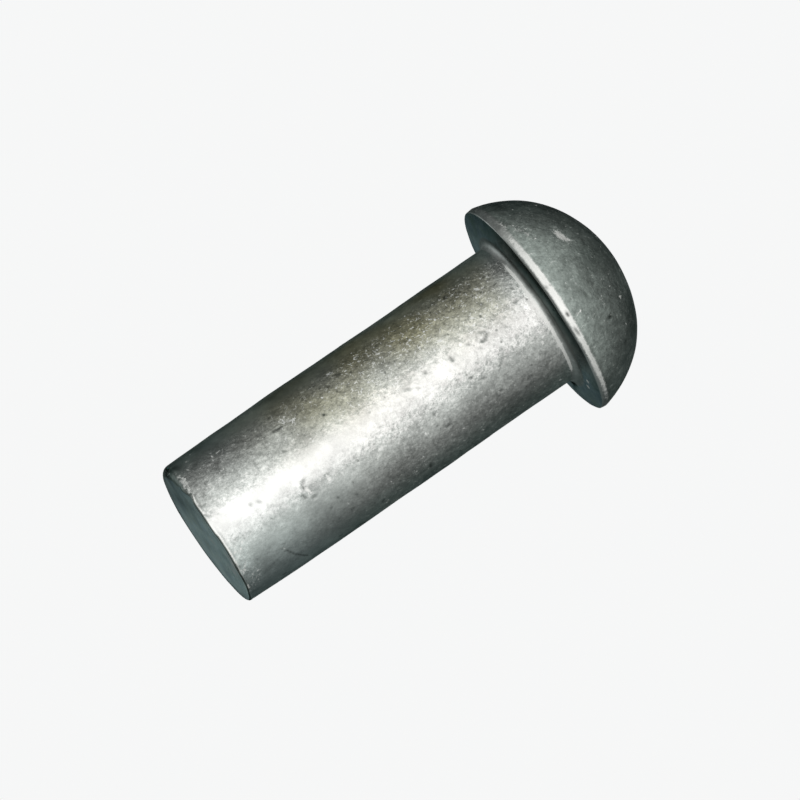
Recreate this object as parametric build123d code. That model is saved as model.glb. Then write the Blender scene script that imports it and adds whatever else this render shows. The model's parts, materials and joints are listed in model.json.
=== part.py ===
from build123d import *

import math
import os

# A solid rivet with a round head, forged from one piece of steel bar.
# It stands on its sheared tail: the origin is the centre of the tail face, and +Z runs up the
# shank to the head. All sizes are in millimetres.

# Shank
SHANK_DIAMETER = 20.0
SHANK_LENGTH = 50.0          # from the tail face to the bearing face under the head
TAIL_EDGE_RADIUS = 0.8       # edge rolled over where the bar was sheared off

# Head
HEAD_DIAMETER = 30.0
HEAD_HEIGHT = 12.4           # from the bearing face to the top of the crown
UNDERHEAD_RADIUS = 1.0       # fillet where the shank meets the bearing face
RIM_EDGE_RADIUS = 0.4        # rounded lower edge of the rim
RIM_LAND = 0.8               # straight band round the rim, above that edge
CROWN_RADIUS = 17.0          # top of the dome, which is a little flatter than its flanks
CROWN_HALF_ANGLE = 28.0      # degrees from the axis to where the crown runs into the flank


def quarter_round(start, end, centre):
    """A quarter circle between two points of the profile that lie level with its centre."""
    half = math.sqrt(0.5)
    reach = (start[0] + end[0] - 2 * centre[0], start[1] + end[1] - 2 * centre[1])
    middle = (centre[0] + half * reach[0], centre[1] + half * reach[1])
    return ThreePointArc(start, middle, end)


def draw_shank():
    """The shank's side of the profile, from the tail face's centre up to the bearing face."""
    radius = SHANK_DIAMETER / 2
    tail_flat = (radius - TAIL_EDGE_RADIUS, 0)
    wall_start = (radius, TAIL_EDGE_RADIUS)
    wall_end = (radius, SHANK_LENGTH - UNDERHEAD_RADIUS)
    bearing_start = (radius + UNDERHEAD_RADIUS, SHANK_LENGTH)
    Line((0, 0), tail_flat)
    quarter_round(tail_flat, wall_start, (radius - TAIL_EDGE_RADIUS, TAIL_EDGE_RADIUS))
    Line(wall_start, wall_end)
    quarter_round(wall_end, bearing_start, (bearing_start[0], wall_end[1]))
    return bearing_start


def draw_rim(bearing_start):
    """The flat bearing face and the narrow rim, up to the edge of the dome."""
    radius = HEAD_DIAMETER / 2
    bearing_end = (radius - RIM_EDGE_RADIUS, SHANK_LENGTH)
    land_start = (radius, SHANK_LENGTH + RIM_EDGE_RADIUS)
    land_end = (radius, land_start[1] + RIM_LAND)
    Line(bearing_start, bearing_end)
    quarter_round(bearing_end, land_start, (bearing_end[0], land_start[1]))
    Line(land_start, land_end)
    return land_end


def draw_dome(land_end):
    """The dome: a crown struck from the axis, and a flank that leaves it smoothly for the rim."""
    top = SHANK_LENGTH + HEAD_HEIGHT
    centre = (0, top - CROWN_RADIUS)
    angle = math.radians(CROWN_HALF_ANGLE)
    shoulder = (CROWN_RADIUS * math.sin(angle), centre[1] + CROWN_RADIUS * math.cos(angle))
    downhill = (math.cos(angle), -math.sin(angle))
    TangentArc(shoulder, land_end, tangent=downhill)
    CenterArc(centre, CROWN_RADIUS, 90 - CROWN_HALF_ANGLE, CROWN_HALF_ANGLE)
    Line((0, top), (0, 0))


def make_rivet():
    """Half the rivet's section, turned once round the axis."""
    with BuildPart() as rivet:
        with BuildSketch(Plane.XZ):
            with BuildLine():
                bearing_start = draw_shank()
                land_end = draw_rim(bearing_start)
                draw_dome(land_end)
            make_face()
        revolve(axis=Axis.Z)
    return rivet.part


os.makedirs("parts", exist_ok=True)
rivet = make_rivet()
rivet.label = "rivet"
export_step(rivet, "parts/rivet.step")
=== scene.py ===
import json
import math
import random

import bpy
import numpy as np
from mathutils import Matrix, Vector, noise


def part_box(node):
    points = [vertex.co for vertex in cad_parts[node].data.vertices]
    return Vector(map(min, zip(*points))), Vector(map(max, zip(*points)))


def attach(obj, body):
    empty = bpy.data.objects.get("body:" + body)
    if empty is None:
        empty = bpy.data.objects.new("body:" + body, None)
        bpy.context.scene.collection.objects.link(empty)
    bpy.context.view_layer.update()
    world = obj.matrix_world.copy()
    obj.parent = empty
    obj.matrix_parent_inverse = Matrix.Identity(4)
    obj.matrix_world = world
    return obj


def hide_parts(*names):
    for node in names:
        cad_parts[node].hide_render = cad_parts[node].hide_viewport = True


# A forged steel rivet, standing on its tail. Shapes are worked out in millimetres and turned
# into metres when a mesh is made; lights and the camera are in metres. A turn goes round the
# rivet's axis in degrees: 0 faces the camera (-Y) and 90 faces +X.

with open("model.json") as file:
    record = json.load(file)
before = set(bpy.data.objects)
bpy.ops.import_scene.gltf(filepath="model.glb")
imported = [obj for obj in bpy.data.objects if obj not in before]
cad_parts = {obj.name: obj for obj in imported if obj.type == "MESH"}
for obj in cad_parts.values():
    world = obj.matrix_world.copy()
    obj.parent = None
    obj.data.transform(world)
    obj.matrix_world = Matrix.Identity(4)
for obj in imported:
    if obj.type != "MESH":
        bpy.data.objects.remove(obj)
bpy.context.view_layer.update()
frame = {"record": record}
MM = 0.001


# Sizes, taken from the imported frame

def mount(name):
    """One of the record's mounts, by name."""
    return next(m for m in frame["record"]["mounts"] if m["name"] == name)


LOW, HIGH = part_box("rivet")
SHANK_R = mount("shank")["dims"]["r_mm"]
BEARING_Z = mount("bearing_face")["pos_m"][2] / MM
HEAD_R = (HIGH.x - LOW.x) / 2 / MM
TOP_Z = HIGH.z / MM

# Small forms of the section
UNDERHEAD_R = 1.0
CROWN_R = 17.0
CROWN_HALF = 28.0          # degrees from the axis to where the crown runs into the flank
RIM_TOP = 1.24             # the rim's land ends this far above the bearing face
RIM_TOP_DROP = 0.25        # this much lower on the +X side
RIM_TOP_WOBBLE = 0.04      # and uneven by this much

# How the forged piece strays from that section
WALL_UNDER = 0.05          # the bar is this much under its nominal radius
BARREL_SWELL = 0.07        # it swells a little, low on the shank
BARREL_Z = 17.0
BARREL_REACH = 9.0
TAIL_TAPER = 0.16          # and the shear drew it in at the tail
TAIL_TAPER_REACH = 3.5
NECK_BLEND = 1.2           # all of this fades out over this height, under the head
HEAD_UNDER = 0.08          # the head is this much under its own radius
RIM_BLEND = 1.0            # from this far inside the rim outward
HEAD_SHIFT = 0.13          # and is off centre, towards +X
SHIFT_BLEND = 0.8          # a shift that the fillet takes up over this height
BEARING_RISE = 0.30        # the bearing face rises this much towards the rim
BEARING_RISE_BACK = 0.17   # and more at the back of the +X side
RIM_ROUND = 0.55           # radius of the rim's lower edge where it is worn
RIM_CRISP = 0.14           # and where it is still crisp
RIM_WOBBLE = 0.10          # how uneven the worn edge is
LAND_TAPER = 0.08          # the rim's land widens upwards by this much
WAVES = ((7.0, 0.045), (3.0, 0.020))     # long waves of the skin: length, height

# The tail's edge: rolled over on one side, sharp with a burr on the other
ROLL_TURN = -90.0          # middle of the rolled side
ROLL_R = 1.1               # the edge's radius there
SHARP_R = 0.18             # and on the sharp side
FACE_LIFT = 0.10           # the edge's mean height over the floor
EDGE_RISES = (             # turn, width and height of its steps
    (-47, 3, 0.10),
    (-32, 5, 0.26),
    (-5, 8, -0.08),
    (0.5, 3, -0.16),
    (38, 11, -0.08),
    (74, 16, -0.12),
)
RISE_FADE = (3.0, 0.4)     # the wall follows the steps wholly below the second height
BURR_LIP = 0.03            # height of the burr
BURR_LIP_UP = 0.12         # and how far it is above the sharp edge
BURR_GROOVE = 0.03         # depth of the groove over it
BURR_GROOVE_UP = 0.42
BURR_WIDTH = 0.10          # of the burr and of its groove
BURR_BREAKS = (            # what breaks it into lengths: size, share, seed
    (5.0, 1.0, 9.0),
    (1.3, 0.6, 4.0),
)
BURR_LIMIT = 1.8           # the burr ends where the edge is this many times SHARP_R round

# A fine raised line low on the fillet, which also carries a painted glint
LAP_RISE = 0.015
LAP_WIDTH = 0.18
LAP_DROP = 0.77            # how far it is below the bearing face, in fillet radii

# Stretches round the rivet, in turns: where each begins, is whole, starts to fade and ends
WORN_AND_LIT_RIM = (-46, -24, 50, 86)            # the rim is worn bright, and painted brighter as a highlight
LOW_LAND = (-10, 45, 100, 150)           # the rim's land ends lower
HIGH_BEARING = (78, 110, 160, 180)       # the bearing face rises more
SHARP_EDGE = (-34, -22, 150, 180)        # the tail's edge is sharp
LAP_SHOWN = (-50, -28, 50, 75)           # the fillet has its raised line, with a painted glint
CALM_SIDE = (5, 30, 130, 170)            # the wall is smoother
ROLLED_SIDE = (-170, -130, -64, -48)     # and smoother still, on its other side
SCUFFED_SIDE = (8, 26, 55, 80)           # the wall's foot is scuffed
GREEN_SIDES = (42, 68, 100, 130)         # the wall is greener, on both sides

# Mesh density
SEGMENTS = 320
FACE_RINGS = 14
EDGE_RINGS = 8
FOOT_TOP = 1.6             # the wall's foot, up to this height, has finer rings
FOOT_RINGS = 17
FOOT_CROWDING = 1.6        # which are crowded towards the tail's edge
WALL_STEP = 0.256
FILLET_RINGS = 14
BEARING_RINGS = 10
RIM_RINGS = 6
LAND_RINGS = 7
FLANK_RINGS = 31
CROWN_RINGS = 19


# Numbers

def smooth(low, high, value):
    """0 below low, 1 above high, and an S curve between. high may be the smaller one."""
    share = np.clip((value - low) / (high - low), 0.0, 1.0)
    return share * share * (3 - 2 * share)


def between(value, begin, whole, fading, end):
    """1 from whole to fading, 0 before begin and after end, and S curves between."""
    return smooth(begin, whole, value) * smooth(end, fading, value)


def hump(centre, width, value):
    """A bell curve: 1 at the centre."""
    return np.exp(-((value - centre) / width) ** 2)


def ripple(place, size, seed=0.0):
    """Smooth noise from about -1 to 1, whose waves are about size long."""
    shifted = Vector(place) / size + Vector((seed, seed * 1.7, seed * 0.3))
    return noise.noise(shifted) * 1.6


def round_ripple(turn, size, seed):
    """Noise that goes round the rim and closes on itself."""
    way = math.radians(turn)
    return ripple((HEAD_R * math.cos(way), HEAD_R * math.sin(way), 0.0), size, seed)


# The section: points (radius, height) from the tail's centre to the crown, at one turn

def straight(start, end, count, crowding=1.0):
    """Points after start, up to and with end. A crowding over 1 draws them towards the start."""
    shares = [(i / count) ** crowding for i in range(1, count + 1)]
    return [tuple(a + (b - a) * share for a, b in zip(start, end)) for share in shares]


def arc(centre, radius, start_deg, end_deg, count):
    """Points along an arc after its start; 0 points outward and 90 points up."""
    points = []
    for i in range(1, count + 1):
        way = math.radians(start_deg + (end_deg - start_deg) * i / count)
        points.append((centre[0] + radius * math.cos(way), centre[1] + radius * math.sin(way)))
    return points


def edge_radius(turn):
    """How round the tail's edge is: wide where the shear rolled it over, sharp elsewhere."""
    rolled = smooth(0.35, 1.0, math.cos(math.radians(turn - ROLL_TURN)))
    return SHARP_R + (ROLL_R - SHARP_R) * rolled


def draw_tail(turn):
    """The tail face, its edge and the foot of the wall."""
    edge = edge_radius(turn)
    face = straight((0, 0), (SHANK_R - edge, 0), FACE_RINGS)
    rounding = arc((SHANK_R - edge, edge), edge, -90, 0, EDGE_RINGS)
    foot = straight((SHANK_R, edge), (SHANK_R, FOOT_TOP), FOOT_RINGS, FOOT_CROWDING)
    return [("face", face), ("edge", rounding), ("wall", foot)]


def draw_wall():
    """The shank's wall and the fillet under the head."""
    top = BEARING_Z - UNDERHEAD_R
    wall = straight((SHANK_R, FOOT_TOP), (SHANK_R, top), round((top - FOOT_TOP) / WALL_STEP))
    fillet = arc((SHANK_R + UNDERHEAD_R, top), UNDERHEAD_R, 180, 90, FILLET_RINGS)
    return [("wall", wall), ("fillet", fillet)]


def land_end(turn):
    """Where the rim's land ends and the dome begins."""
    drop = RIM_TOP_DROP * between(turn, *LOW_LAND)
    wobble = RIM_TOP_WOBBLE * round_ripple(turn, 3.0, 2.0)
    return (HEAD_R, BEARING_Z + RIM_TOP - drop + wobble)


def rim_low(turn):
    """The height of the rim's lower edge."""
    return BEARING_Z + BEARING_RISE + BEARING_RISE_BACK * between(turn, *HIGH_BEARING)


def draw_rim(turn):
    """The bearing face, the rim's uneven lower edge and its land, which is slightly tapered."""
    worn = between(turn, *WORN_AND_LIT_RIM)
    wobble = RIM_WOBBLE * worn * round_ripple(turn, 4.0, 5.0)
    edge = RIM_CRISP + (RIM_ROUND - RIM_CRISP) * worn + wobble
    foot_r = HEAD_R - LAND_TAPER
    low = rim_low(turn)
    bearing = straight((SHANK_R + UNDERHEAD_R, BEARING_Z), (foot_r - edge, low), BEARING_RINGS)
    rounding = arc((foot_r - edge, low + edge), edge, -90, 0, RIM_RINGS)
    land = straight((foot_r, low + edge), land_end(turn), LAND_RINGS)
    return [("bearing", bearing), ("rim", rounding), ("land", land)]


def draw_dome(turn):
    """The flank from the rim's land to the crown, tangent to the crown, and then the crown."""
    start = land_end(turn)
    half = math.radians(CROWN_HALF)
    shoulder = (CROWN_R * math.sin(half), TOP_Z - CROWN_R * (1 - math.cos(half)))
    across, up = start[0] - shoulder[0], start[1] - shoulder[1]
    inward = (math.sin(half), math.cos(half))
    flank_r = -(across**2 + up**2) / (2 * (across * inward[0] + up * inward[1]))
    centre = (shoulder[0] - flank_r * inward[0], shoulder[1] - flank_r * inward[1])
    rim_deg = math.degrees(math.atan2(start[1] - centre[1], start[0] - centre[0]))
    shoulder_deg = 90 - CROWN_HALF
    flank = arc(centre, flank_r, rim_deg, shoulder_deg, FLANK_RINGS)
    crown = arc((0, TOP_Z - CROWN_R), CROWN_R, shoulder_deg, 90, CROWN_RINGS)
    return [("dome", flank + crown[:-1])]


def section(turn):
    """The whole half section at one turn, and what each of its points belongs to."""
    parts = draw_tail(turn) + draw_wall() + draw_rim(turn) + draw_dome(turn)
    kinds = [kind for kind, points in parts for _ in points]
    return [point for _, points in parts for point in points], kinds


def section_normals(points):
    """The outward way at each point, from its neighbours."""
    rows = np.array([(0.0, 0.0), *points, (0.0, TOP_Z)])
    along = rows[2:] - rows[:-2]
    along /= np.linalg.norm(along, axis=1)[:, None]
    return np.column_stack((along[:, 1], -along[:, 0]))


# The skin: arrays of ring by turn, before and after the uneven forms are added

class Skin:
    """Every point of the rivet's skin, in rings from the tail to the crown."""

    def __init__(self):
        turns = np.array([360 * i / SEGMENTS - 180 for i in range(SEGMENTS)])
        sections = [section(turn) for turn in turns]
        self.plain, kinds = sections[0]     # the back's section, where nothing is worn
        self.kind = np.array(kinds)[:, None].repeat(SEGMENTS, 1)
        self.turn = turns[None, :].repeat(len(kinds), 0)
        columns = np.array([points for points, _ in sections])
        normals = np.array([section_normals(points) for points, _ in sections])
        self.radius, self.height = columns[:, :, 0].T, columns[:, :, 1].T
        self.out_r, self.out_z = normals[:, :, 0].T, normals[:, :, 1].T
        # wear also holds painted glints, and dirt painted shade
        self.wear = np.zeros_like(self.radius)
        self.dirt = np.zeros_like(self.radius)

    def places(self):
        """The points as x, y and z."""
        way = np.radians(self.turn)
        x = self.radius * np.sin(way)
        y = -self.radius * np.cos(way)
        return np.stack((x, y, self.height), axis=-1)

    def plain_point(self, height, turn, radius=None):
        """The plain section's point at a height and turn, or a point at a given radius."""
        if radius is None:
            radii, heights = zip(*self.plain)
            radius = np.interp(height, np.maximum.accumulate(heights), radii)
        way = math.radians(turn)
        return np.array((radius * math.sin(way), -radius * math.cos(way), height))

    def push(self, amount):
        """Moves the skin outward by an amount at each point."""
        self.radius = self.radius + self.out_r * amount
        self.height = self.height + self.out_z * amount

    def is_kind(self, *kinds):
        return np.isin(self.kind, kinds)


def uneven_bar(skin):
    """Bar and head under their nominal sizes, the bar's slight barrel and its drawn-in tail."""
    z = skin.height
    swell = BARREL_SWELL * hump(BARREL_Z, BARREL_REACH, z)
    taper = TAIL_TAPER * np.exp(-z / TAIL_TAPER_REACH)
    below = smooth(BEARING_Z, BEARING_Z - NECK_BLEND, z)
    outer = smooth(SHANK_R + UNDERHEAD_R, HEAD_R - RIM_BLEND, skin.radius)
    shrink = below * (WALL_UNDER - swell + taper) / SHANK_R
    shrink += HEAD_UNDER / HEAD_R * outer
    skin.radius = skin.radius * (1 - shrink)


def sheared_tail(skin):
    """The steps in the face's edge, and the burr with the groove above it."""
    steps = sum(height * hump(turn, width, skin.turn) for turn, width, height in EDGE_RISES)
    lift = np.maximum(steps + FACE_LIFT, 0.0)
    inward = (skin.radius / SHANK_R) ** 2
    reach = np.where(skin.is_kind("face"), inward, smooth(*RISE_FADE, skin.height))
    burr = burr_strength(skin.turn[0])[None, :] * skin.is_kind("wall")
    lip = burr * hump(SHARP_R + BURR_LIP_UP, BURR_WIDTH, skin.height)
    groove = burr * hump(SHARP_R + BURR_GROOVE_UP, BURR_WIDTH, skin.height)
    skin.height = skin.height + lift * reach
    skin.push(BURR_LIP * lip - BURR_GROOVE * groove)
    # the burr is painted bright, as worn metal and partly a painted glint; its groove and the sharp
    # edge get painted shade
    skin.wear += LIP_WEAR_AND_GLINT * lip * lip_shine(skin.turn)
    skin.dirt += GROOVE_SHADE * groove
    skin.dirt += EDGE_SHADOW * between(skin.turn, *SHARP_EDGE) * skin.is_kind("edge")


def burr_strength(turns):
    """Where the burr stands: on the sharp side, and broken into short lengths."""
    breaks = sum(
        share * np.array([round_ripple(turn, size, seed) for turn in turns])
        for size, share, seed in BURR_BREAKS
    )
    sharp = np.array([edge_radius(turn) for turn in turns]) < SHARP_R * BURR_LIMIT
    return sharp * smooth(-0.6, 0.6, breaks)


def lip_shine(turn):
    """How bright the burr is, as worn metal and a painted glint: duller towards the camera, and not
    at all beyond its end.
    """
    return (1 - LIP_DULL * hump(*LIP_DULL_STRIP, turn)) * smooth(*LIP_END, turn)


def lap_line(skin):
    """The fine line low on the fillet, on the side that faces the camera, where it also carries a
    painted glint.
    """
    lap_and_glint_line = hump(BEARING_Z - LAP_DROP * UNDERHEAD_R, LAP_WIDTH, skin.height)
    return lap_and_glint_line * between(skin.turn, *LAP_SHOWN) * skin.is_kind("fillet")


def add_waves(skin):
    """Long shallow waves over everything but the sheared face."""
    places = skin.places()
    amount = np.zeros_like(skin.radius)
    for ring, kind in enumerate(skin.kind[:, 0]):
        if kind != "face":
            for column in range(SEGMENTS):
                place = places[ring, column]
                amount[ring, column] = sum(h * ripple(place, size) for size, h in WAVES)
    skin.push(amount)


def shift_head(places):
    """The head sits a little to one side of the shank."""
    places[..., 0] += HEAD_SHIFT * smooth(BEARING_Z - SHIFT_BLEND, BEARING_Z, places[..., 2])


# Marks: strokes pressed into the skin. Each has its points (height, turn) or, on the bearing
# face, (height, turn, radius), its width and depth, and how dark, below 0, or bright, above 0,
# its floor is.

FOOT_MARKS = (             # chips and rubbed spots along the tail's edge
    (((1.2, -67.5), (1.6, -62.5)), 0.70, 0.02, -0.60),
    (((0.90, -61.0), (0.80, -54.0)), 0.28, 0.02, 0.50),
    (((0.75, -52.0), (0.70, -43.0)), 0.40, 0.03, 0.62),
    (((1.1, -46.0), (1.2, -40.0)), 0.26, 0.03, 0.45),
    (((0.50, -41.0), (0.60, -36.0)), 0.34, 0.03, 0.60),
    (((0.45, -34.0), (0.50, -29.0)), 0.30, 0.03, 0.62),
    (((0.50, -27.0), (0.62, -22.0)), 0.16, 0.04, 1.10),
    (((0.5, -21.0), (1.1, -19.0)), 0.22, 0.07, -0.7),
    (((0.40, -18.0), (0.75, -15.5), (0.75, -13.0)), 0.12, 0.05, -0.8),
    (((0.30, -17.0), (0.34, -12.0)), 0.12, 0.04, 1.00),
    (((0.5, -13.0), (0.9, -10.0)), 0.20, 0.06, -0.6),
    (((0.45, 3.0), (0.65, 7.0), (0.62, 13.0)), 0.11, 0.06, -0.9),
    (((0.30, 17.0), (0.35, 20.0)), 0.12, 0.03, 0.90),
    (((1.3, 24.0), (1.4, 26.0)), 0.16, 0.04, 0.80),
    (((0.9, 29.0), (1.0, 31.0)), 0.15, 0.05, -0.60),
    (((0.25, 29.0), (0.18, 40.0), (0.12, 52.0)), 0.12, 0.06, -0.9),
    (((0.35, 30.0), (0.30, 34.0)), 0.14, 0.03, 1.10),
    (((0.26, 31.0), (0.62, 37.0)), 0.12, 0.05, -0.90),
    (((1.5, 34.0), (1.1, 36.0)), 0.16, 0.04, 0.80),
    (((0.60, 38.0), (0.55, 41.0)), 0.16, 0.03, 0.90),
    (((0.70, 44.0), (0.30, 50.0)), 0.11, 0.05, -0.80),
    (((0.35, 47.0), (0.30, 53.0)), 0.12, 0.03, 0.90),
)
WALL_MARKS = (             # dents, nicks and a long scratch on the shank, and two painted glints at the neck
    (((3.0, -29.0), (3.0, -28.0)), 0.20, 0.04, 0.9),
    (((6.6, 46.0), (7.4, 55.0), (8.9, 68.0)), 0.12, 0.04, -0.7),
    (((6.7, 1.2), (6.9, 2.4)), 0.20, 0.05, -0.5),
    (((11.8, 16.0), (12.0, 19.0)), 0.18, 0.06, -0.7),
    (((12.5, 12.5), (12.7, 14.5), (12.8, 18.0)), 0.22, 0.07, 0.7),
    (((12.9, -18.6), (13.1, -17.2)), 0.20, 0.05, -0.6),
    (((12.9, 7.5), (12.4, 9.5), (12.4, 12.5)), 0.22, 0.08, -0.6),
    (((13.3, -36.0), (14.6, -35.0)), 0.20, 0.05, -0.6),
    (((15.2, -38.0), (16.2, -34.0)), 0.50, 0.02, 0.5),
    (((29.7, -5.4), (30.2, -3.8)), 0.20, 0.06, -0.6),
    (((31.1, -1.2), (31.3, -0.2)), 0.18, 0.05, -0.5),
    (((32.5, -8.6), (32.6, -8.0)), 0.15, 0.02, 0.8),
    (((33.0, -7.6), (33.1, -6.4)), 0.20, 0.06, -0.7),
    (((35.7, 10.4), (36.0, 11.2)), 0.16, 0.04, -0.4),
    (((37.4, 15.0), (37.6, 16.2)), 0.20, 0.06, -0.5),
    (((38.5, 20.4), (38.8, 21.6)), 0.18, 0.05, -0.4),
    (((38.9, 8.4), (39.1, 9.4)), 0.17, 0.05, -0.4),
    (((39.4, -6.6), (39.5, -5.4)), 0.18, 0.06, -0.7),
    (((40.4, 0.8), (40.5, 1.8)), 0.16, 0.05, -0.5),
    (((40.8, -6.4), (40.6, -5.2)), 0.17, 0.05, -0.5),
    (((41.2, -5.4), (41.3, -4.2)), 0.15, 0.02, 0.9),
    (((41.5, -8.6), (42.1, -6.9)), 0.18, 0.07, -0.6),
    (((42.2, -4.8), (41.5, -2.0), (41.0, -2.6)), 0.20, 0.08, -0.7),
    (((42.2, 15.8), (41.3, 20.8)), 0.16, 0.05, -0.5),
    (((43.8, -26.4), (43.9, -25.2)), 0.20, 0.06, -0.6),
    (((44.3, -39.0), (44.8, -36.4)), 0.22, 0.03, 0.7),
    (((47.4, 23.0), (47.5, 23.9)), 0.20, 0.03, 0.9),
    # two painted glints at the neck, on the side that faces the camera
    (((48.8, -8.0), (48.8, 9.0)), 0.40, 0.0, 0.9),
    (((48.9, 26.0), (48.9, 35.0)), 0.16, 0.02, 0.8),
)
HEAD_MARKS = (             # the rim and the dome, and then the bearing face
    (((50.6, -6.2), (50.7, -5.4)), 0.20, 0.07, -0.9),
    (((50.8, 18.6), (50.9, 22.0)), 0.20, 0.06, -0.6),
    (((51.0, 10.0), (51.0, 11.2)), 0.20, 0.07, -0.9),
    (((51.5, -50.0), (51.6, -45.0)), 0.42, 0.01, 0.36),
    (((52.1, 11.8), (52.2, 12.8)), 0.24, 0.09, -0.5),
    (((52.4, -43.0), (52.8, -40.0)), 0.48, 0.01, 0.36),
    (((52.5, 12.2), (52.5, 13.2)), 0.16, 0.02, 0.9),
    (((53.0, -38.0), (53.1, -36.5)), 0.42, 0.01, 0.42),
    (((53.3, -34.0), (53.4, -32.0)), 0.38, 0.01, 0.40),
    (((55.6, 27.4), (56.0, 28.0)), 0.28, 0.09, -0.9),
    (((56.3, -30.5), (56.6, -27.0)), 0.56, 0.01, 0.62),
    (((56.5, -27.0), (56.9, -23.0)), 0.50, 0.01, 0.58),
    (((58.7, 26.0), (58.8, 27.2)), 0.20, 0.05, 1.0),
    (((50.0, 66.0, 12.0), (50.0, 67.6, 12.0)), 0.17, 0.03, 2.0),
    (((50.0, 75.2, 11.95), (50.0, 77.2, 11.95)), 0.18, 0.03, 2.4),
    (((50.0, 2.8, 13.9), (50.0, 3.2, 13.1)), 0.20, 0.04, 0.9),
    # a deep pit at the neck, its floor painted dark as its shade
    (((50.0, 107.0, 10.9), (50.0, 122.0, 12.1)), 0.55, 0.32, -1.0),
)

# Small pits and bright specks, scattered over the skin
WALL_PITS = 130
HEAD_PITS = 40
PIT_MARGIN = 0.5           # how far they keep from the ends
PIT_SHADES = (-0.7, -0.5, -0.3, 0.6)

# The lip round each mark: its height in depths, and its place and breadth in widths
MARK_LIP = 0.3
MARK_LIP_AWAY = 1.7
MARK_LIP_WIDTH = 0.5


def small_pits(count, low, high):
    """Pits and specks between two heights."""
    dice = random.Random(count)
    for _ in range(count):
        height, turn = dice.uniform(low, high), dice.uniform(-180, 180)
        size = dice.uniform(0.3, 1.0) ** 2
        end = (height + dice.uniform(-0.4, 0.4) * size, turn + dice.uniform(-4, 4) * size)
        shade = dice.choice(PIT_SHADES)
        yield ((height, turn), end), 0.12 + 0.14 * size, 0.02 + 0.06 * size, shade


def stroke_distance(places, start, end):
    """How far each place is from the straight line between two points."""
    along = end - start
    share = np.clip(((places - start) @ along) / max(along @ along, 1e-9), 0.0, 1.0)
    return np.linalg.norm(places - start - share[..., None] * along, axis=-1)


def press_marks(skin, marks):
    """Presses each mark in, with a low lip, and notes how much lighter or darker it leaves the
    skin: worn or dirty for most marks, and painted glints and painted shade for a few.
    """
    places = skin.places()
    for stroke, width, depth, shade in marks:
        ends = [skin.plain_point(*end) for end in stroke]
        lines = [stroke_distance(places, a, b) for a, b in zip(ends, ends[1:])]
        distance = np.min(lines, axis=0)
        floor = hump(0.0, width, distance)
        lip = hump(MARK_LIP_AWAY * width, MARK_LIP_WIDTH * width, distance)
        skin.push(depth * (MARK_LIP * lip - floor))
        skin.wear += max(shade, 0.0) * floor
        skin.dirt += max(-shade, 0.0) * floor


# Paint: vertex values for the material. A strip is a turn and a width for hump(), and a fade
# is the two values between which smooth() rises from 0 to 1.

GRAIN = {                  # how coarse each part of the skin is
    "face": 0.12,
    "edge": 0.5,
    "wall": 1.0,
    "fillet": 0.5,
    "bearing": 0.3,
    "rim": 0.3,
    "land": 0.5,
    "dome": 0.75,
}
CALM = 0.2                 # less on the wall's calm side
CALM_LOW = 0.4             # and less again low on that side
CALM_LOW_FADE = (28, 12)
CALM_ROLLED = 0.8          # less above the rolled edge
CALM_TRACK = 0.6           # less along the smoothest line
ROUGH_HIGH = 0.35          # more on the wall's other side, high up
ROUGH_HIGH_FADE = (18, 28)
ROUGH_FOOT = 0.3           # more on the scuffed foot

# The smoothest line of the wall, which also carries a painted highlight, and the scuffed patch at
# its foot
TRACK_STRIP = (-2, 9)
TRACK_TOP_FADE = (44, 36)
SCUFF_TOP_FADE = (3.4, 1.0)

# Tint: the colours, and the share of each
STEEL = (0.56, 0.575, 0.562)
OLIVE = (0.505, 0.482, 0.34)
GREEN_GREY = (0.475, 0.565, 0.525)
BLUE_GREY = (0.47, 0.56, 0.60)
OLIVE_SHARE = 0.88         # olive on the wall's -X side
OLIVE_SPREAD = 0.5         # how unevenly
OLIVE_STRIP = (-54, 33)
OLIVE_SIDE_FADE = (-95, -65)
OLIVE_HEIGHTS = (6, 20, 44, 49)     # where it begins, is whole, starts to fade and ends
COOL_STRIP = (62, 40)      # a cool strip low on the other side
COOL_TOP_FADE = (24, 4)
COOL_GREEN = 0.5           # green grey there
COOL_BLUE = 0.4            # and blue grey
SIDE_GREEN = 0.6           # green grey on both sides of the wall
DOME_GREEN = 0.6           # and on the dome and the tail's edge
FACE_DULL = 0.7            # green and blue grey on the tail face
BEARING_DULL = 0.2         # and on the bearing face
BEARING_DULL_SIDES = 0.8   # and more on both its sides
BEARING_SIDES_FADE = (35, 75)
GREEN_SPOT = (58.3, -8, 2.2)        # a greener spot of the dome: height, turn, size
GREEN_SPOT_SHARE = 0.5

# Wear and painted glints, as a share of bare metal
LIP_WEAR_AND_GLINT = 1.6             # on the burr, as worn metal and a painted glint
LIP_DULL = 0.7             # but less by this share here
LIP_DULL_STRIP = (-2, 18)
LIP_END = (72, 45)         # and none beyond these turns
RIM_WEAR = 0.14            # on the rim all the way round
RIM_WEAR_AND_HIGHLIGHT = 0.64      # and more where it is worn bright: worn metal and a painted highlight
RIM_WEAR_FADE = (-0.05, 0.55)       # over the rim's lower edge
LAP_GLINT = 1.5             # painted glint on the raised line of the fillet
FOOT_WEAR = 0.16           # on the scuffed foot
FOOT_WEAR_SPREAD = 1.3     # how unevenly

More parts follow.
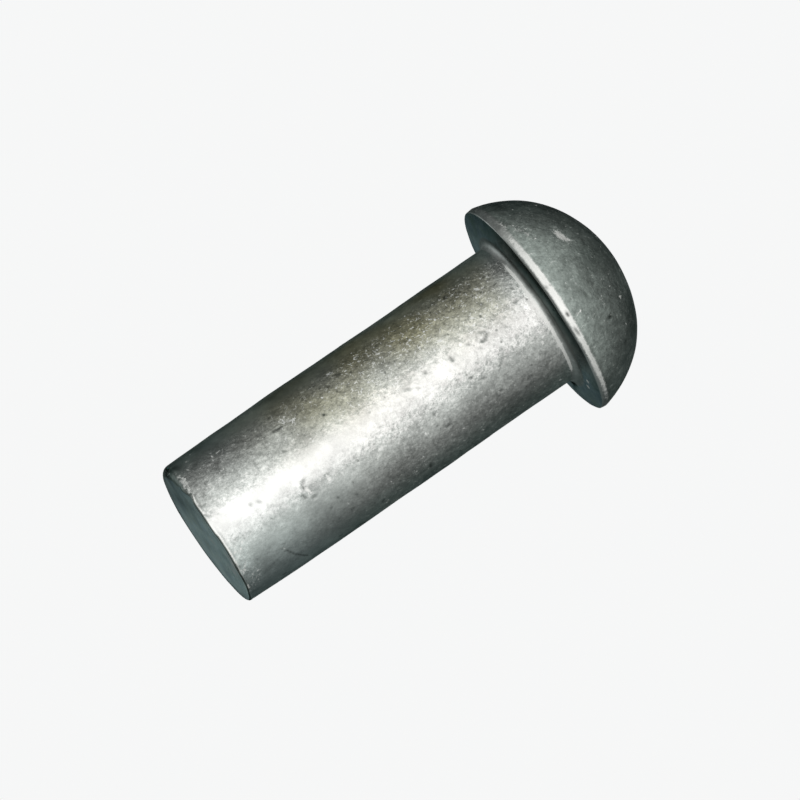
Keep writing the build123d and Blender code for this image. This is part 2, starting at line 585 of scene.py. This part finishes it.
# Painted shade, as a share of dark scale
UNDERHEAD_SHADE_STRIP = (-12, 60)     # painted shade under the head is thickest here, on the camera's side
SHADE_LEAST = 0.25          # and this share of it is left on the far side
GROOVE_SHADE = 0.25         # painted shade in the groove over the burr
EDGE_SHADOW = 0.75           # painted shadow along the tail's sharp edge
FACE_BORDER_SHADE = 0.6            # painted shade round the tail face, on its far sides
FACE_BORDER_FADE = (1.8, 0.4)       # inside the shank's radius
FAR_LEFT_FADE = (-60, -100)
FAR_RIGHT_FADE = (80, 110)
BEARING_SHADE = 0.5         # painted shade on the bearing face
BEARING_SHADE_OUT = 0.4     # and more near the rim
RIM_SHADE = 0.35            # painted shade under the rim
RIM_SHADE_FADE = (0.30, -0.10)       # over the rim's lower edge
FILLET_SHADE = 0.7          # painted shade high on the fillet
FILLET_SHADE_FADE = (0.14, 0.6)      # from the wall, 0, to the bearing face, 1
CREASE_SHADE = 0.3          # painted shade on the dome, in the crease along the worn rim
CREASE_UP = 0.14           # over the end of the rim's land
CREASE_WIDTH = 0.12

# Tone and painted light: how much lighter or darker the steel is
PAINTED_HIGHLIGHT_TONE = 0.05          # painted highlight along the smoothest line of the wall
PAINTED_SHADE_TONE = -0.12         # painted shade in a darker strip of the wall, near its -X outline
OUTLINE_SHADE_STRIP = (-78, 14)
ROLLED_EDGE_SHADE = -0.55        # painted shade on the rolled edge, near the face
ROLLED_FADE = (1.15, 0.7)
FACE_TONE_AND_LIGHT = 0.85           # of the tail face at -X, and twice that at +X, where the doubling is painted light
FACE_LIGHT_FADE = (-7, 0)
FACE_MOTTLE = 0.8          # how much of the mottle shows on it
FACE_BLOTCHES = 0.20       # and how strong its own blotches are
MOTTLE = ((6.0, 0.12), (2.2, 0.09), (0.9, 0.05))     # size in millimetres, share
# Most of these are painted light and shade: painted highlights on the camera's side of the wall,
# the neck and the dome, and painted shade towards the wall's and the dome's outlines and at its
# crown. A few are blotches of the scale and of the scuffed foot.
TONE_AND_LIGHT_PATCHES = (                # lighter and darker places: height, turn, size, share
    (0.8, -76, 1.6, -0.25),
    (0.8, 32, 2.0, 0.45),
    (1.0, 50, 1.5, 0.30),
    (4.5, -60, 3.0, -0.22),
    (5.0, -18, 2.6, 0.20),
    (7.0, 50, 4.5, 0.40),
    (7.5, 38, 2.0, -0.10),
    (9.0, -18, 2.4, 0.18),
    (12.0, -18, 2.0, 0.10),
    (12.0, 7, 1.6, 0.12),
    (12.0, 26, 2.0, -0.08),
    (12.0, 34, 3.0, -0.10),
    (13.8, 16, 1.3, -0.22),
    (16.3, -21, 2.2, -0.26),
    (19.0, -33, 2.2, -0.12),
    (20.0, -63, 5.0, -0.35),
    (20.0, -41, 4.0, 0.28),
    (20.0, -14, 2.2, 0.20),
    (27.0, -19, 2.6, 0.22),
    (30.7, -11, 2.0, -0.16),
    (34.5, 12, 3.0, 0.10),
    (36.0, -62, 4.0, -0.14),
    (36.0, -20, 5.0, -0.08),
    (37.0, -43, 4.0, 0.20),
    (39.0, 48, 5.0, -0.16),
    (42.0, 60, 3.5, -0.14),
    (43.5, 2, 3.5, -0.16),
    (48.4, -42, 1.6, -0.40),
    (49.2, -4, 1.1, 0.50),
    (51.5, -85, 4.0, -0.30),
    (51.8, -54, 1.8, 0.35),
    (52.4, -36, 3.0, 0.20),
    (52.5, 24, 2.0, -0.12),
    (52.9, -62, 1.3, -0.25),
    (53.0, -7, 3.0, -0.22),
    (53.5, 14, 4.5, -0.10),
    (55.5, -72, 4.5, -0.30),
    (55.6, -58, 1.8, 0.16),
    (56.0, 4, 3.0, -0.14),
    (56.5, -5, 2.0, -0.16),
    (57.1, -27, 2.6, 0.16),
    (58.3, -8, 2.0, -0.18),
    (59.0, 48, 3.0, -0.16),
    (59.5, -58, 4.5, -0.28),
    (62.0, 0, 4.0, -0.18),
)


def smooth_and_highlight_track(skin):
    """1 along the smoothest line of the wall, which faces the camera and carries a painted
    highlight.
    """
    return hump(*TRACK_STRIP, skin.turn) * smooth(*TRACK_TOP_FADE, skin.height)


def scuffed_foot(skin):
    """1 on the scuffed patch at the foot of the wall, whose upper border wanders."""
    top = skin.height + drift(skin, 1.6, 8.0)
    return smooth(*SCUFF_TOP_FADE, top) * between(skin.turn, *SCUFFED_SIDE)


def drift(skin, size, seed):
    """Soft noise at every point of the skin."""
    places = skin.places().reshape(-1, 3)
    return np.array([ripple(place, size, seed) for place in places]).reshape(skin.turn.shape)


def patch_share(skin, height, turn, size):
    """A soft patch round one spot of the skin: 1 at the spot."""
    away = np.linalg.norm(skin.places() - skin.plain_point(height, turn), axis=-1)
    return hump(0.0, size, away)


def out_share(skin):
    """0 on the shank's wall and 1 where the fillet meets the bearing face."""
    return (skin.radius - SHANK_R) / UNDERHEAD_R


def veil(colour, over, share):
    """Lays a share of another colour over the first."""
    share = np.clip(share, 0.0, 1.0)[..., None]
    return colour * (1 - share) + np.array(over) * share


def paint_grain(skin):
    """How coarse the skin is: the wall is smoother on its +X side, most of all near the tail."""
    grain = np.zeros_like(skin.radius)
    for kind, value in GRAIN.items():
        grain[skin.is_kind(kind)] = value
    side = between(skin.turn, *CALM_SIDE)
    calm = side * (CALM + CALM_LOW * smooth(*CALM_LOW_FADE, skin.height))
    calm += CALM_ROLLED * between(skin.turn, *ROLLED_SIDE) + CALM_TRACK * smooth_and_highlight_track(skin)
    rough = (1 - side) * ROUGH_HIGH * smooth(*ROUGH_HIGH_FADE, skin.height)
    rough += ROUGH_FOOT * scuffed_foot(skin)
    return grain * (1 + (rough - calm) * skin.is_kind("wall"))


def olive_share(skin):
    """How olive the scale is: a broad uneven strip along the shank."""
    share = OLIVE_SHARE + OLIVE_SPREAD * drift(skin, 5.0, 3.0)
    strip = hump(*OLIVE_STRIP, skin.turn) * smooth(*OLIVE_SIDE_FADE, skin.turn)
    return share * strip * between(skin.height, *OLIVE_HEIGHTS)


def paint_tint(skin):
    """The colour of the scale: olive along the shank's -X side, green or blue grey elsewhere."""
    wall, side = skin.is_kind("wall"), np.abs(skin.turn)
    cool = hump(*COOL_STRIP, skin.turn) * smooth(*COOL_TOP_FADE, skin.height)
    green = np.maximum(SIDE_GREEN * between(side, *GREEN_SIDES), COOL_GREEN * cool)
    bearing = BEARING_DULL + BEARING_DULL_SIDES * smooth(*BEARING_SIDES_FADE, side)
    dull = FACE_DULL * skin.is_kind("face") + bearing * skin.is_kind("bearing")
    spot = GREEN_SPOT_SHARE * patch_share(skin, *GREEN_SPOT)
    tint = veil(np.array(STEEL), GREEN_GREY, wall * green)
    tint = veil(tint, OLIVE, wall * olive_share(skin))
    tint = veil(tint, BLUE_GREY, wall * COOL_BLUE * cool)
    tint = veil(tint, GREEN_GREY, DOME_GREEN * skin.is_kind("dome", "edge") + dull)
    tint = veil(tint, GREEN_GREY, spot)
    return veil(tint, BLUE_GREY, dull * (0.8 + 0.6 * drift(skin, 1.8, 6.0)))


def paint_wear_and_glints(skin):
    """Bare bright metal and painted glints: the marks, some of them painted glints, the rim, partly
    a painted highlight, the painted glint on the fillet's line, and the scuffed foot.
    """
    rim = RIM_WEAR + RIM_WEAR_AND_HIGHLIGHT * between(skin.turn, *WORN_AND_LIT_RIM)
    rim = rim * smooth(*RIM_WEAR_FADE, skin.height - rim_low(skin.turn))
    lap_and_glint_line = LAP_GLINT * lap_line(skin)
    foot = FOOT_WEAR * scuffed_foot(skin) * (1 + FOOT_WEAR_SPREAD * drift(skin, 0.5, 2.0))
    return skin.wear + rim * skin.is_kind("rim", "land") + lap_and_glint_line + foot * skin.is_kind("wall")


def paint_dirt_and_shade(skin):
    """Dark scale of the marks, and painted shade: over the bearing face, thickest along the rim's
    lower edge, and high on the fillet, under the rim, round the tail face's far border and in a
    crease on the dome.
    """
    turn, z = skin.turn, skin.height
    near = SHADE_LEAST + (1 - SHADE_LEAST) * hump(*UNDERHEAD_SHADE_STRIP, turn)
    far = smooth(*FAR_LEFT_FADE, turn) + smooth(*FAR_RIGHT_FADE, turn)
    out = smooth(SHANK_R + UNDERHEAD_R, HEAD_R - RIM_ROUND, skin.radius)
    crease = hump(BEARING_Z + RIM_TOP + CREASE_UP, CREASE_WIDTH, z)
    dirt = {
        "face": FACE_BORDER_SHADE * far * smooth(*FACE_BORDER_FADE, SHANK_R - skin.radius),
        "fillet": FILLET_SHADE * near * smooth(*FILLET_SHADE_FADE, out_share(skin)),
        "bearing": near * (BEARING_SHADE + BEARING_SHADE_OUT * out),
        "rim": RIM_SHADE * near * smooth(*RIM_SHADE_FADE, z - rim_low(turn)),
        "dome": CREASE_SHADE * between(turn, *WORN_AND_LIT_RIM) * crease,
    }
    return skin.dirt + sum(share * skin.is_kind(kind) for kind, share in dirt.items())


def paint_tone_and_light(skin):
    """How light the steel is: mottled at random, with painted light and shade in patches, a painted
    highlight and painted shade in strips of the wall, painted shade on the rolled edge, and painted
    light on one side of the tail face.
    """
    tone = 1 + sum(share * drift(skin, size, 7.0) for size, share in MOTTLE)
    for height, turn, size, share in TONE_AND_LIGHT_PATCHES:
        tone += share * patch_share(skin, height, turn, size)
    # painted highlight along the wall's smoothest line, and painted shade in a strip near its -X
    # outline
    wall = PAINTED_HIGHLIGHT_TONE * smooth_and_highlight_track(skin) + PAINTED_SHADE_TONE * hump(*OUTLINE_SHADE_STRIP, skin.turn)
    rolled = (1 - between(skin.turn, *SHARP_EDGE)) * smooth(*ROLLED_FADE, skin.height)
    tone += wall * skin.is_kind("wall") + ROLLED_EDGE_SHADE * rolled * skin.is_kind("edge")
    face = FACE_TONE_AND_LIGHT * (1 + smooth(*FACE_LIGHT_FADE, skin.places()[..., 0]))
    face += FACE_MOTTLE * (tone - 1) + FACE_BLOTCHES * drift(skin, 2.2, 4.0)
    return np.where(skin.is_kind("face"), face, tone)


# The mesh

def close_rings(rings):
    """Faces that join the rings to each other, and to a point at each end."""
    last = rings * SEGMENTS + 1
    top = last - SEGMENTS
    faces = []
    for i in range(SEGMENTS):
        right = (i + 1) % SEGMENTS
        faces.append((0, 1 + right, 1 + i))
        for base in range(1, top, SEGMENTS):
            above = base + SEGMENTS
            faces.append((base + i, base + right, above + right, above + i))
        faces.append((last, top + i, top + right))
    return faces


PAINTS = {
    "grain": paint_grain,
    "tint": paint_tint,
    "wear": paint_wear_and_glints,
    "dirt": paint_dirt_and_shade,
    "tone": paint_tone_and_light,
}


def keep_paint(mesh, name, paint):
    """Stores a value or a colour for each vertex; the two end points take their neighbour's."""
    rows = paint.reshape(len(mesh.vertices) - 2, -1)
    rows = np.vstack((rows[:1], rows, rows[-1:]))
    if rows.shape[1] == 1:
        mesh.attributes.new(name, "FLOAT", "POINT").data.foreach_set("value", rows.ravel())
    else:
        mesh.attributes.new(name, "FLOAT_VECTOR", "POINT").data.foreach_set("vector", rows.ravel())


def forge_skin():
    """The skin with all its uneven forms and marks."""
    skin = Skin()
    uneven_bar(skin)
    sheared_tail(skin)
    skin.push(LAP_RISE * lap_line(skin))
    add_waves(skin)
    press_marks(skin, FOOT_MARKS + WALL_MARKS + HEAD_MARKS)
    press_marks(skin, small_pits(WALL_PITS, PIT_MARGIN, BEARING_Z - PIT_MARGIN))
    press_marks(skin, small_pits(HEAD_PITS, BEARING_Z + RIM_TOP, TOP_Z - PIT_MARGIN))
    return skin


def make_rivet():
    """The rivet's mesh: the skin's rings, closed by a point at each end, with its paint."""
    skin = forge_skin()
    places = skin.places()
    shift_head(places)
    places[..., 2] = np.clip(places[..., 2], 0.0, TOP_Z)
    crown = (HEAD_SHIFT, 0.0, TOP_Z)
    verts = np.vstack(((0.0, 0.0, 0.0), places.reshape(-1, 3), crown)) * MM
    mesh = bpy.data.meshes.new("rivet_forged")
    mesh.from_pydata(verts.tolist(), [], close_rings(len(places)))
    mesh.shade_smooth()
    for name, paint in PAINTS.items():
        keep_paint(mesh, name, paint(skin))
    piece = bpy.data.objects.new("rivet_forged", mesh)
    bpy.context.scene.collection.objects.link(piece)
    return piece


# Materials

class Graph:
    """Short calls for building one node tree."""

    def __init__(self, tree):
        self.tree = tree
        tree.nodes.clear()

    def add(self, kind, inputs=None, **settings):
        """A node with its settings; an input takes a value or another node's output."""
        node = self.tree.nodes.new(kind)
        for name, value in settings.items():
            setattr(node, name, value)
        for name, value in (inputs or {}).items():
            self.set(node.inputs[name], value)
        return node

    def set(self, socket, value):
        if isinstance(value, bpy.types.NodeSocket):
            self.tree.links.new(value, socket)
        else:
            socket.default_value = value

    def attribute(self, name, output="Fac"):
        return self.add("ShaderNodeAttribute", attribute_name=name).outputs[output]

    def math(self, operation, first, second=0.0, clamp=False):
        values = {0: first, 1: second}
        node = self.add("ShaderNodeMath", values, operation=operation, use_clamp=clamp)
        return node.outputs[0]

    def total(self, *parts):
        """The sum of (value, weight) pairs."""
        whole = self.math("MULTIPLY", *parts[0])
        for value, weight in parts[1:]:
            whole = self.math("ADD", whole, self.math("MULTIPLY", value, weight))
        return whole

    def vector(self, operation, first, second=(0, 0, 0)):
        values = {0: first, 1: second}
        return self.add("ShaderNodeVectorMath", values, operation=operation).outputs[0]

    def scaled(self, vector, amount):
        values = {0: vector, "Scale": amount}
        return self.add("ShaderNodeVectorMath", values, operation="SCALE").outputs[0]

    def noise(self, place, size, detail=2.0, roughness=0.5, shift=0.0):
        """Soft noise from 0 to 1 whose blobs are about size millimetres across."""
        moved = self.vector("ADD", place, (shift, shift, shift))
        scale = 1 / (size * MM)
        values = {"Vector": moved, "Scale": scale, "Detail": detail, "Roughness": roughness}
        return self.add("ShaderNodeTexNoise", values).outputs["Fac"]

    def spread(self, value, low, high, to_low=0.0, to_high=1.0):
        """Stretches a value from low..high to to_low..to_high, and clamps it there."""
        values = {"Value": value, "From Min": low, "From Max": high}
        values |= {"To Min": to_low, "To Max": to_high}
        return self.add("ShaderNodeMapRange", values).outputs["Result"]

    def blend(self, share, first, second):
        """Two colours, mixed."""
        node = self.add("ShaderNodeMix", data_type="RGBA")
        for slot, value in ((0, share), (6, first), (7, second)):
            self.set(node.inputs[slot], value)
        return node.outputs[2]


# The colour of dark scale, also laid on as painted shade
OXIDE_AND_SHADE = (0.045, 0.055, 0.05, 1)
# The colour of bare metal, also laid on as painted glints and highlights
BARE_AND_GLINT = (0.90, 0.905, 0.89, 1)
EDGE_TINT = (0.12, 0.16, 0.16, 1)
FACETS = ((0.18, 0.16), (0.36, 0.15), (0.75, 0.13))     # size in millimetres, tilt
BUMP_DEPTH = 0.06
CLUMP_HEIGHT = 1.5         # heights of the bump's two noises, in bump depths
GRAIN_HEIGHT = 0.6


def facets(graph, place, coarse):
    """The surface's normal, tilted a little at random from grain to grain, at several sizes."""
    normal = graph.add("ShaderNodeNewGeometry").outputs["Normal"]
    for size, tilt in FACETS:
        values = {"Vector": place, "Scale": 1 / (size * MM), "Detail": 0.0}
        blobs = graph.add("ShaderNodeTexNoise", values).outputs["Color"]
        lean = graph.vector("SUBTRACT", blobs, (0.5, 0.5, 0.5))
        lean = graph.scaled(graph.scaled(lean, tilt), coarse)
        normal = graph.vector("ADD", normal, lean)
    return graph.vector("NORMALIZE", normal)


def pitted(graph, place, coarse):
    """The normal of the pitted grain. Its height is 0 on average, so that a change of
    coarseness makes no step."""
    clump = graph.noise(place, 1.6, detail=2.0, roughness=0.6)
    grain = graph.noise(place, 0.5, detail=2.0, roughness=0.6, shift=0.2)
    height = graph.total((clump, CLUMP_HEIGHT), (grain, GRAIN_HEIGHT))
    height = graph.math("SUBTRACT", height, (CLUMP_HEIGHT + GRAIN_HEIGHT) / 2)
    height = graph.math("MULTIPLY", height, coarse)
    normal = facets(graph, place, coarse)
    values = {"Height": height, "Distance": BUMP_DEPTH * MM, "Normal": normal}
    return graph.add("ShaderNodeBump", values).outputs[0]


def scale_colour(graph, tint, tone, speckle, coarse):
    """The scale's own colour, speckled where the grain is coarse."""
    lit = graph.scaled(tint, graph.spread(speckle, 0.3, 0.7, 0.66, 1.22))
    return graph.scaled(graph.blend(coarse, tint, lit), tone)


def threads(graph, place, size, width, shift):
    """Thin curling lines, where soft noise passes its middle, as a mask."""
    level = graph.noise(place, size, detail=0.0, shift=shift)
    off = graph.math("ABSOLUTE", graph.math("SUBTRACT", level, 0.5))
    return graph.spread(off, width, 0.0)


def specks(graph, place, size, share, shift):
    """Dots in a share of the cells of a grid of the given size, as a mask."""
    moved = graph.vector("ADD", place, (shift, shift, shift))
    cell = graph.add("ShaderNodeTexVoronoi", {"Vector": moved, "Scale": 1 / (size * MM)})
    red = graph.add("ShaderNodeSeparateColor", {"Color": cell.outputs["Color"]}).outputs[0]
    chosen = graph.math("LESS_THAN", red, share)
    dot = graph.spread(cell.outputs["Distance"], 0.45, 0.25)
    return graph.math("MULTIPLY", chosen, dot)


def bare_metal_and_glints(graph, place, speckle, wear, coarse):
    """Where bare metal and painted glints show, as a mask: worn places, painted glints, bright dots
    and broken curling lines.
    """
    dots = graph.math("MULTIPLY", specks(graph, place, 0.42, share=0.025, shift=0.0), coarse)
    breaks = graph.noise(place, 0.5, detail=1.0, shift=2.1)
    lines = threads(graph, place, 0.48, width=0.11, shift=1.3)
    lines = graph.math("MULTIPLY", lines, graph.spread(breaks, 0.42, 0.58))
    lines = graph.math("MULTIPLY", lines, coarse)
    shine = graph.total((speckle, 0.9), (wear, 1.0), (dots, 0.6), (lines, 0.56))
    return graph.spread(shine, 0.75, 1.15)


def dark_scale_and_shade(graph, place, dirt, coarse):
    """Where dark scale and painted shade lie, as a mask: dirty places, painted shade and small dots
    in the grain.
    """
    dots = specks(graph, place, 0.50, share=0.02, shift=0.7)
    dots = graph.math("MULTIPLY", dots, graph.math("MULTIPLY", coarse, 0.4))
    return graph.math("ADD", dirt, dots, clamp=True)


def sheen(graph, place, speckle, bare_and_glint):
    """The roughness: patchy, speckled, and higher where bare metal has been rubbed and on the
    painted glints.
    """
    patches = graph.noise(place, 6.0, detail=3.0, roughness=0.6, shift=0.1)
    rough = graph.spread(patches, 0.3, 0.7, 0.32, 0.40)
    rough = graph.math("ADD", rough, graph.spread(speckle, 0.3, 0.7, -0.04, 0.04))
    return graph.math("ADD", rough, graph.math("MULTIPLY", bare_and_glint, 0.30))


def forged_steel():
    """Bare forged steel: pitted grain, uneven sheen, faint tints of scale, worn bright edges, and
    painted highlights, glints and shade in its colour.
    """
    material = bpy.data.materials.new("forged_steel")
    material.use_nodes = True
    graph = Graph(material.node_tree)
    place = graph.add("ShaderNodeTexCoord").outputs["Object"]
    # The paint: grain; wear with painted glints; dirt with painted shade; tone with painted light
    # and shade
    coarse, wear, dirt, tone = (graph.attribute(name) for name in ("grain", "wear", "dirt", "tone"))
    tint = graph.attribute("tint", "Vector")
    speckle = graph.noise(place, 0.9, detail=3.0, roughness=0.95, shift=0.5)
    bare_and_glint = bare_metal_and_glints(graph, place, speckle, wear, coarse)
    colour = scale_colour(graph, tint, tone, speckle, coarse)
    colour = graph.blend(bare_and_glint, colour, BARE_AND_GLINT)
    colour = graph.blend(dark_scale_and_shade(graph, place, dirt, coarse), colour, OXIDE_AND_SHADE)
    shader = graph.add("ShaderNodeBsdfPrincipled", {
        "Base Color": colour,
        "Roughness": sheen(graph, place, speckle, bare_and_glint),
        "Metallic": 1.0,
        "Normal": pitted(graph, place, coarse),
        "Specular Tint": EDGE_TINT,
    })
    graph.add("ShaderNodeOutputMaterial", {"Surface": shader.outputs[0]})
    return material


# The studio

CAMERA_AWAY = 0.92495      # from the rivet's axis
CAMERA_DROP = 0.11202      # below the tail face
AIM_HEIGHT = 0.029994
AIM_SIDE = -0.000163
CAMERA_ROLL = 55.416
LENS = 337.3
PALE = (0.925, 0.93, 0.93, 1)
ROOM = (                   # where the room is bright: direction, tightness, colour
    ((0.0, -1.0, 0.0), 3.0, (1.38, 1.42, 1.375)),
    ((0.0, 0.94, -0.34), 4.0, (0.265, 0.308, 0.303)),
    ((-0.6, 0.6, -0.53), 30.0, (0.75, 0.77, 0.77)),
)
KEY_COLOUR = (1.0, 0.85, 0.89)
FLOOR_COLOUR = (0.9, 0.9, 0.9, 1)
FLOOR_FADE = (0.35, 1.0)   # from here outward the floor gives way to the pale world


def place_camera():
    """Below the tail face and looking up at it, rolled as the photograph is."""
    camera = bpy.data.objects.new("camera", bpy.data.cameras.new("camera"))
    bpy.context.scene.collection.objects.link(camera)
    camera.data.lens = LENS
    camera.data.clip_end = 20
    eye = Vector((0, -CAMERA_AWAY, -CAMERA_DROP))
    ahead = (Vector((AIM_SIDE, 0, AIM_HEIGHT)) - eye).normalized()
    level = ahead.cross(Vector((0, 0, 1))).normalized()
    upright = level.cross(ahead)
    roll = math.radians(CAMERA_ROLL)
    right = level * math.cos(roll) + upright * math.sin(roll)
    up = upright * math.cos(roll) - level * math.sin(roll)
    turned = Matrix((right, up, -ahead)).transposed().to_4x4()
    camera.matrix_world = Matrix.Translation(eye) @ turned
    bpy.context.scene.camera = camera


def soft_light(name, turn_deg, rise_deg, distance, size, power, colour=(1, 1, 1)):
    """A round soft light aimed at the rivet's middle."""
    data = bpy.data.lights.new(name, "AREA")
    data.shape = "DISK"
    data.size = size
    data.energy = power
    data.color = colour
    light = bpy.data.objects.new(name, data)
    bpy.context.scene.collection.objects.link(light)
    turn, rise = math.radians(turn_deg), math.radians(rise_deg)
    level = math.cos(rise)
    back = Vector((math.sin(turn) * level, -math.cos(turn) * level, math.sin(rise)))
    middle = Vector((0, 0, TOP_Z * MM / 2))
    light.location = middle + back * distance
    light.rotation_mode = "QUATERNION"
    light.rotation_quaternion = (-back).to_track_quat("-Z", "Y")
    return light


def make_world():
    """Pale to the eye. What the steel reflects is a soft room, brightest on the camera's side."""
    world = bpy.data.worlds.new("studio")
    bpy.context.scene.world = world
    world.use_nodes = True
    graph = Graph(world.node_tree)
    way = graph.add("ShaderNodeTexCoord").outputs["Generated"]
    room = (0, 0, 0)
    for bright_way, tightness, colour in ROOM:
        values = {0: way, 1: Vector(bright_way).normalized()}
        facing = graph.add("ShaderNodeVectorMath", values, operation="DOT_PRODUCT")
        share = graph.math("POWER", graph.spread(facing.outputs["Value"], -1, 1), tightness)
        room = graph.vector("ADD", room, graph.scaled(colour, share))
    seen = graph.add("ShaderNodeBackground", {"Color": PALE})
    lit = graph.add("ShaderNodeBackground", {"Color": room})
    ray = graph.add("ShaderNodeLightPath").outputs["Is Camera Ray"]
    both = graph.add("ShaderNodeMixShader", {0: ray, 1: lit.outputs[0], 2: seen.outputs[0]})
    graph.add("ShaderNodeOutputWorld", {"Surface": both.outputs[0]})


def floor_material():
    """Matt and pale from above, clear from below, and fading out sideways."""
    material = bpy.data.materials.new("floor")
    material.use_nodes = True
    graph = Graph(material.node_tree)
    place = graph.add("ShaderNodeTexCoord").outputs["Object"]
    away = graph.add("ShaderNodeVectorMath", {0: place}, operation="LENGTH").outputs["Value"]
    below = graph.add("ShaderNodeNewGeometry").outputs["Backfacing"]
    unseen = graph.math("MAXIMUM", below, graph.spread(away, *FLOOR_FADE))
    matt = graph.add("ShaderNodeBsdfDiffuse", {"Color": FLOOR_COLOUR})
    clear = graph.add("ShaderNodeBsdfTransparent")
    mix = graph.add("ShaderNodeMixShader", {0: unseen, 1: matt.outputs[0], 2: clear.outputs[0]})
    graph.add("ShaderNodeOutputMaterial", {"Surface": mix.outputs[0]})
    return material


def make_floor():
    """A pale floor without an edge. It is clear from below, where the main camera is."""
    end = FLOOR_FADE[1]
    corners = [(-end, -end, 0), (end, -end, 0), (end, end, 0), (-end, end, 0)]
    mesh = bpy.data.meshes.new("floor")
    mesh.from_pydata(corners, [], [(0, 1, 2, 3)])
    mesh.materials.append(floor_material())
    floor = bpy.data.objects.new("floor", mesh)
    bpy.context.scene.collection.objects.link(floor)
    floor.visible_diffuse = False
    floor.visible_glossy = False
    floor.visible_shadow = False
    return floor


def light_floor(floor):
    """A wide light overhead that falls on the floor alone."""
    light = soft_light("floor_light", turn_deg=0, rise_deg=90, distance=1.5, size=1.2, power=20)
    only = bpy.data.collections.new("floor_only")
    only.objects.link(floor)
    light.light_linking.receiver_collection = only


def light_rivet():
    """A wide light from the camera's side, for the long highlight down the shank."""
    place = {"turn_deg": 2.5, "rise_deg": 2, "distance": 1.0}
    soft_light("key", **place, size=0.95, power=1.8, colour=KEY_COLOUR)


rivet = make_rivet()
rivet.data.materials.append(forged_steel())
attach(rivet, "root")
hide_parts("rivet")

place_camera()
make_world()
floor = make_floor()
light_floor(floor)
light_rivet()
bpy.context.scene.view_settings.view_transform = "Standard"
